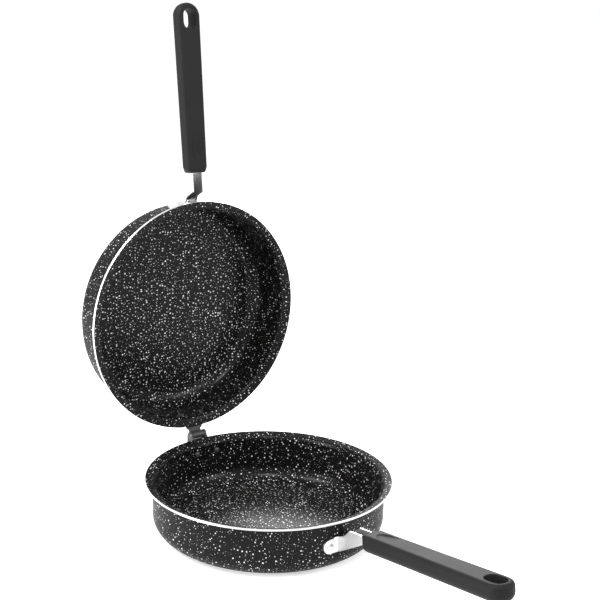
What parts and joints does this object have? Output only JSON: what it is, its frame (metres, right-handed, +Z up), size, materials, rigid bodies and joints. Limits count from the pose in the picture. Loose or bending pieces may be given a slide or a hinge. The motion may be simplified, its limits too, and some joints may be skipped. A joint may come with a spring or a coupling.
{
  "type": "double sided flip pan",
  "caption": "Hinged double frying pan: two round non-stick pans joined rim to rim by a pin hinge, each with a riveted bracket and a long moulded handle with a hanging hole.",
  "frame": {"origin": "centre of the lower pan's flat base, which stands on z = 0", "axes": "+Z up along the lower pan's axis; +X from the hinge towards the lower handle; +Y along the hinge pin. The pan is stored open, with the upper pan leaning back on the hinge's stop"},
  "size_m": [0.5127, 0.248, 0.5115],
  "materials": {
    "pan_coating": "black speckled non-stick coating over aluminium, with a bare cut edge at the lip",
    "bracket_steel": "satin pressed stainless steel",
    "stud_steel": "satin steel",
    "grip_plastic": "satin moulded heat-proof plastic",
    "hinge_metal": "dark satin finish on pressed steel",
    "rivet_metal": "dark satin finish"
  },
  "bodies": {
    "lower": {"lower_pan": "pan_coating", "lower_handle_bracket": "bracket_steel", "lower_bracket_studs": "stud_steel", "lower_grip": "grip_plastic", "lower_grip_screw": "stud_steel", "hinge_clevis": "hinge_metal", "lower_hinge_rivets": "rivet_metal", "hinge_pin": "hinge_metal"},
    "upper": {"upper_pan": "pan_coating", "upper_handle_bracket": "bracket_steel", "upper_bracket_studs": "stud_steel", "upper_grip": "grip_plastic", "upper_grip_screw": "stud_steel", "hinge_leaf": "hinge_metal", "upper_hinge_rivets": "rivet_metal"}
  },
  "joints": [
    {"name": "pan_hinge", "type": "hinge", "parent": "lower", "child": "upper", "pos_m": [-0.1335, 0, 0.0552], "axis": [0, 1, 0], "range_deg": [0, 89.5]}
  ]
}
